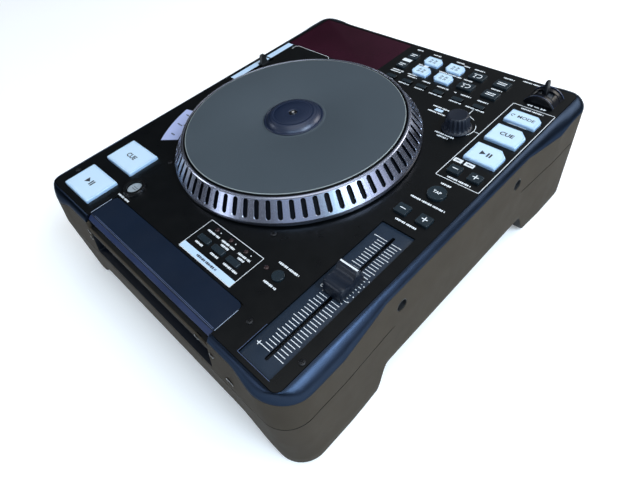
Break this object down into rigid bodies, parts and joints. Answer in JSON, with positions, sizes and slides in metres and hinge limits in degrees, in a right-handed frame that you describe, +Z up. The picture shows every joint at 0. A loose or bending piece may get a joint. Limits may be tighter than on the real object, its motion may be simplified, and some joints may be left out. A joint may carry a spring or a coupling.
{
  "type": "tabletop disc player",
  "caption": "Tabletop player for performing with discs: motor platter with a scratch disc, long speed fader, lit buttons, display, levers and a front disc slot.",
  "frame": {"origin": "middle of the case's plan, on the table under the rubber pads", "axes": "+X to the player's right, +Y to the back, +Z up; front with the disc slot faces -Y"},
  "size_m": [0.292, 0.343, 0.1201],
  "materials": {
    "bottom_case": "warm dark grey satin moulding",
    "top_cover": "glossy blue-black rim",
    "top_panel": "near-black satin with white markings",
    "slot_cover": "blue-grey satin strip",
    "display_window": "smoked window",
    "display_module": "display in its frame",
    "platter_ring": "anodised turned platter with slotted skirt",
    "platter_rotor": "magnet cup with hollow shaft",
    "slip_disc": "grey disc with fine circular lines",
    "hub_cap": "black domed cap",
    "spindle": "polished pin",
    "motor_stator": "coils on laminated cores round the bearing",
    "fader_knob": "dark slate cap with a white line",
    "fader_unit": "steel fader body",
    "parameter_knob": "fluted soft knob",
    "bend_lever": "black fin lever",
    "lever_saddle": "black arched saddle",
    "slide_lever": "black slide lever",
    "main_board": "circuit board with parts",
    "key_board": "circuit board with switches and lamps",
    "power_supply": "supply board with transformer",
    "loader_chassis": "folded steel frame",
    "loader_roller": "rubber roller on a steel pin",
    "disc_turntable": "black hub for the disc",
    "pickup_sled": "black carriage with a lens",
    "rear_sockets": "black plate with metal sockets",
    "power_switch": "black push button",
    "screws": "dark plated screws",
    "rubber_feet": "black rubber pads",
    "deck_play_button": "pale blue-white cap",
    "deck_cue_button": "pale blue-white cap",
    "round_button": "grey-white lens",
    "mode_key_1": "dark cap",
    "mode_key_2": "dark cap",
    "mode_key_3": "dark cap",
    "range_button": "dark cap",
    "bend_minus_button": "dark cap",
    "bend_plus_button": "dark cap",
    "tap_button": "dark cap",
    "mode_button": "pale blue-white cap",
    "cue_button": "pale blue-white cap",
    "play_button": "pale blue-white cap",
    "minus_button": "dark cap",
    "plus_button": "dark cap",
    "row_button_1": "dark cap",
    "row_button_2": "dark cap",
    "row_button_3": "dark cap",
    "row_button_4": "dark cap",
    "row_button_5": "dark cap",
    "row_button_6": "dark cap",
    "hot_button_1": "pale blue-white cap",
    "hot_button_2": "pale blue-white cap",
    "hot_button_3": "pale blue-white cap",
    "hot_button_4": "pale blue-white cap",
    "loop_button_1": "dark cap",
    "loop_button_2": "dark cap",
    "disc_button_1": "dark cap",
    "disc_button_2": "dark cap",
    "page_button_1": "dark cap",
    "page_button_2": "dark cap"
  },
  "bodies": {
    "base": {"bottom_case": "bottom_case", "top_cover": "top_cover", "top_panel": "top_panel", "slot_cover": "slot_cover", "display_window": "display_window", "display_module": "display_module", "motor_stator": "motor_stator", "fader_unit": "fader_unit", "lever_saddle": "lever_saddle", "main_board": "main_board", "key_board": "key_board", "power_supply": "power_supply", "loader_chassis": "loader_chassis", "rear_sockets": "rear_sockets", "screws": "screws", "rubber_feet": "rubber_feet"},
    "platter": {"platter_ring": "platter_ring", "platter_rotor": "platter_rotor"},
    "scratch_disc": {"slip_disc": "slip_disc", "hub_cap": "hub_cap", "spindle": "spindle"},
    "fader": {"fader_knob": "fader_knob"},
    "knob": {"parameter_knob": "parameter_knob"},
    "lever": {"bend_lever": "bend_lever"},
    "slide": {"slide_lever": "slide_lever"},
    "roller": {"loader_roller": "loader_roller"},
    "turntable": {"disc_turntable": "disc_turntable"},
    "pickup": {"pickup_sled": "pickup_sled"},
    "switch": {"power_switch": "power_switch"},
    "play_button": {"play_button": "play_button"},
    "cue_button": {"cue_button": "cue_button"},
    "deck_play_button": {"deck_play_button": "deck_play_button"},
    "deck_cue_button": {"deck_cue_button": "deck_cue_button"},
    "mode_button": {"mode_button": "mode_button"},
    "round_button": {"round_button": "round_button"},
    "mode_key_1": {"mode_key_1": "mode_key_1"},
    "mode_key_2": {"mode_key_2": "mode_key_2"},
    "mode_key_3": {"mode_key_3": "mode_key_3"},
    "range_button": {"range_button": "range_button"},
    "bend_minus_button": {"bend_minus_button": "bend_minus_button"},
    "bend_plus_button": {"bend_plus_button": "bend_plus_button"},
    "tap_button": {"tap_button": "tap_button"},
    "minus_button": {"minus_button": "minus_button"},
    "plus_button": {"plus_button": "plus_button"},
    "row_button_1": {"row_button_1": "row_button_1"},
    "row_button_2": {"row_button_2": "row_button_2"},
    "row_button_3": {"row_button_3": "row_button_3"},
    "row_button_4": {"row_button_4": "row_button_4"},
    "row_button_5": {"row_button_5": "row_button_5"},
    "row_button_6": {"row_button_6": "row_button_6"},
    "hot_button_1": {"hot_button_1": "hot_button_1"},
    "hot_button_2": {"hot_button_2": "hot_button_2"},
    "hot_button_3": {"hot_button_3": "hot_button_3"},
    "hot_button_4": {"hot_button_4": "hot_button_4"},
    "loop_button_1": {"loop_button_1": "loop_button_1"},
    "loop_button_2": {"loop_button_2": "loop_button_2"},
    "disc_button_1": {"disc_button_1": "disc_button_1"},
    "disc_button_2": {"disc_button_2": "disc_button_2"},
    "page_button_1": {"page_button_1": "page_button_1"},
    "page_button_2": {"page_button_2": "page_button_2"}
  },
  "joints": [
    {"name": "platter_spin", "type": "hinge", "parent": "base", "child": "platter", "pos_m": [-0.0102, -0.0053, 0.095], "axis": [0, 0, 1], "continuous": true},
    {"name": "scratch_spin", "type": "hinge", "parent": "platter", "child": "scratch_disc", "pos_m": [-0.0102, -0.0053, 0.095], "axis": [0, 0, 1], "continuous": true},
    {"name": "fader_slide", "type": "slide", "parent": "base", "child": "fader", "axis": [0, 1, 0], "range_m": [-0.058, 0.042]},
    {"name": "lever_tilt", "type": "hinge", "parent": "base", "child": "lever", "pos_m": [0.1185, 0.143, 0.08833], "axis": [0, 1, 0], "range_deg": [-18, 18], "stiffness_Nm_per_rad": 0.02},
    {"name": "slide_move", "type": "slide", "parent": "base", "child": "slide", "axis": [0, 1, 0], "range_m": [-0.008, 0.008]},
    {"name": "knob_turn", "type": "hinge", "parent": "base", "child": "knob", "pos_m": [0.0844, 0.0749, 0.095], "axis": [0, 0, 1], "continuous": true},
    {"name": "pickup_travel", "type": "slide", "parent": "base", "child": "pickup", "axis": [0, 1, 0], "range_m": [0, 0.03]},
    {"name": "roller_spin", "type": "hinge", "parent": "base", "child": "roller", "pos_m": [0.004, -0.151, 0.0665], "axis": [1, 0, 0], "continuous": true},
    {"name": "turntable_spin", "type": "hinge", "parent": "base", "child": "turntable", "pos_m": [0.004, -0.095, 0.067], "axis": [0, 0, 1], "continuous": true},
    {"name": "power_press", "type": "slide", "parent": "base", "child": "switch", "axis": [0, -1, 0], "range_m": [0, 0.0025], "stiffness_N_per_m": 600},
    {"name": "play_press", "type": "slide", "parent": "base", "child": "play_button", "axis": [0, 0, -1], "range_m": [0, 0.0012], "stiffness_N_per_m": 900},
    {"name": "cue_press", "type": "slide", "parent": "base", "child": "cue_button", "axis": [0, 0, -1], "range_m": [0, 0.0012], "stiffness_N_per_m": 900},
    {"name": "deck_play_press", "type": "slide", "parent": "base", "child": "deck_play_button", "axis": [0, 0, -1], "range_m": [0, 0.0012], "stiffness_N_per_m": 900},
    {"name": "deck_cue_press", "type": "slide", "parent": "base", "child": "deck_cue_button", "axis": [0, 0, -1], "range_m": [0, 0.0012], "stiffness_N_per_m": 900},
    {"name": "mode_press", "type": "slide", "parent": "base", "child": "mode_button", "axis": [0, 0, -1], "range_m": [0, 0.0012], "stiffness_N_per_m": 900},
    {"name": "round_press", "type": "slide", "parent": "base", "child": "round_button", "axis": [0, 0, -1], "range_m": [0, 0.0012], "stiffness_N_per_m": 900},
    {"name": "mode_key_1_press", "type": "slide", "parent": "base", "child": "mode_key_1", "axis": [0, 0, -1], "range_m": [0, 0.0012], "stiffness_N_per_m": 900},
    {"name": "mode_key_2_press", "type": "slide", "parent": "base", "child": "mode_key_2", "axis": [0, 0, -1], "range_m": [0, 0.0012], "stiffness_N_per_m": 900},
    {"name": "mode_key_3_press", "type": "slide", "parent": "base", "child": "mode_key_3", "axis": [0, 0, -1], "range_m": [0, 0.0012], "stiffness_N_per_m": 900},
    {"name": "range_press", "type": "slide", "parent": "base", "child": "range_button", "axis": [0, 0, -1], "range_m": [0, 0.0012], "stiffness_N_per_m": 900},
    {"name": "bend_minus_press", "type": "slide", "parent": "base", "child": "bend_minus_button", "axis": [0, 0, -1], "range_m": [0, 0.0012], "stiffness_N_per_m": 900},
    {"name": "bend_plus_press", "type": "slide", "parent": "base", "child": "bend_plus_button", "axis": [0, 0, -1], "range_m": [0, 0.0012], "stiffness_N_per_m": 900},
    {"name": "tap_press", "type": "slide", "parent": "base", "child": "tap_button", "axis": [0, 0, -1], "range_m": [0, 0.0012], "stiffness_N_per_m": 900},
    {"name": "minus_press", "type": "slide", "parent": "base", "child": "minus_button", "axis": [0, 0, -1], "range_m": [0, 0.0012], "stiffness_N_per_m": 900},
    {"name": "plus_press", "type": "slide", "parent": "base", "child": "plus_button", "axis": [0, 0, -1], "range_m": [0, 0.0012], "stiffness_N_per_m": 900},
    {"name": "row_button_1_press", "type": "slide", "parent": "base", "child": "row_button_1", "axis": [0, 0, -1], "range_m": [0, 0.0012], "stiffness_N_per_m": 900},
    {"name": "row_button_2_press", "type": "slide", "parent": "base", "child": "row_button_2", "axis": [0, 0, -1], "range_m": [0, 0.0012], "stiffness_N_per_m": 900},
    {"name": "row_button_3_press", "type": "slide", "parent": "base", "child": "row_button_3", "axis": [0, 0, -1], "range_m": [0, 0.0012], "stiffness_N_per_m": 900},
    {"name": "row_button_4_press", "type": "slide", "parent": "base", "child": "row_button_4", "axis": [0, 0, -1], "range_m": [0, 0.0012], "stiffness_N_per_m": 900},
    {"name": "row_button_5_press", "type": "slide", "parent": "base", "child": "row_button_5", "axis": [0, 0, -1], "range_m": [0, 0.0012], "stiffness_N_per_m": 900},
    {"name": "row_button_6_press", "type": "slide", "parent": "base", "child": "row_button_6", "axis": [0, 0, -1], "range_m": [0, 0.0012], "stiffness_N_per_m": 900},
    {"name": "hot_button_1_press", "type": "slide", "parent": "base", "child": "hot_button_1", "axis": [0, 0, -1], "range_m": [0, 0.0012], "stiffness_N_per_m": 900},
    {"name": "hot_button_2_press", "type": "slide", "parent": "base", "child": "hot_button_2", "axis": [0, 0, -1], "range_m": [0, 0.0012], "stiffness_N_per_m": 900},
    {"name": "hot_button_3_press", "type": "slide", "parent": "base", "child": "hot_button_3", "axis": [0, 0, -1], "range_m": [0, 0.0012], "stiffness_N_per_m": 900},
    {"name": "hot_button_4_press", "type": "slide", "parent": "base", "child": "hot_button_4", "axis": [0, 0, -1], "range_m": [0, 0.0012], "stiffness_N_per_m": 900},
    {"name": "loop_button_1_press", "type": "slide", "parent": "base", "child": "loop_button_1", "axis": [0, 0, -1], "range_m": [0, 0.0012], "stiffness_N_per_m": 900},
    {"name": "loop_button_2_press", "type": "slide", "parent": "base", "child": "loop_button_2", "axis": [0, 0, -1], "range_m": [0, 0.0012], "stiffness_N_per_m": 900},
    {"name": "disc_button_1_press", "type": "slide", "parent": "base", "child": "disc_button_1", "axis": [0, 0, -1], "range_m": [0, 0.0012], "stiffness_N_per_m": 900},
    {"name": "disc_button_2_press", "type": "slide", "parent": "base", "child": "disc_button_2", "axis": [0, 0, -1], "range_m": [0, 0.0012], "stiffness_N_per_m": 900},
    {"name": "page_button_1_press", "type": "slide", "parent": "base", "child": "page_button_1", "axis": [0, 0, -1], "range_m": [0, 0.0012], "stiffness_N_per_m": 900},
    {"name": "page_button_2_press", "type": "slide", "parent": "base", "child": "page_button_2", "axis": [0, 0, -1], "range_m": [0, 0.0012], "stiffness_N_per_m": 900}
  ]
}
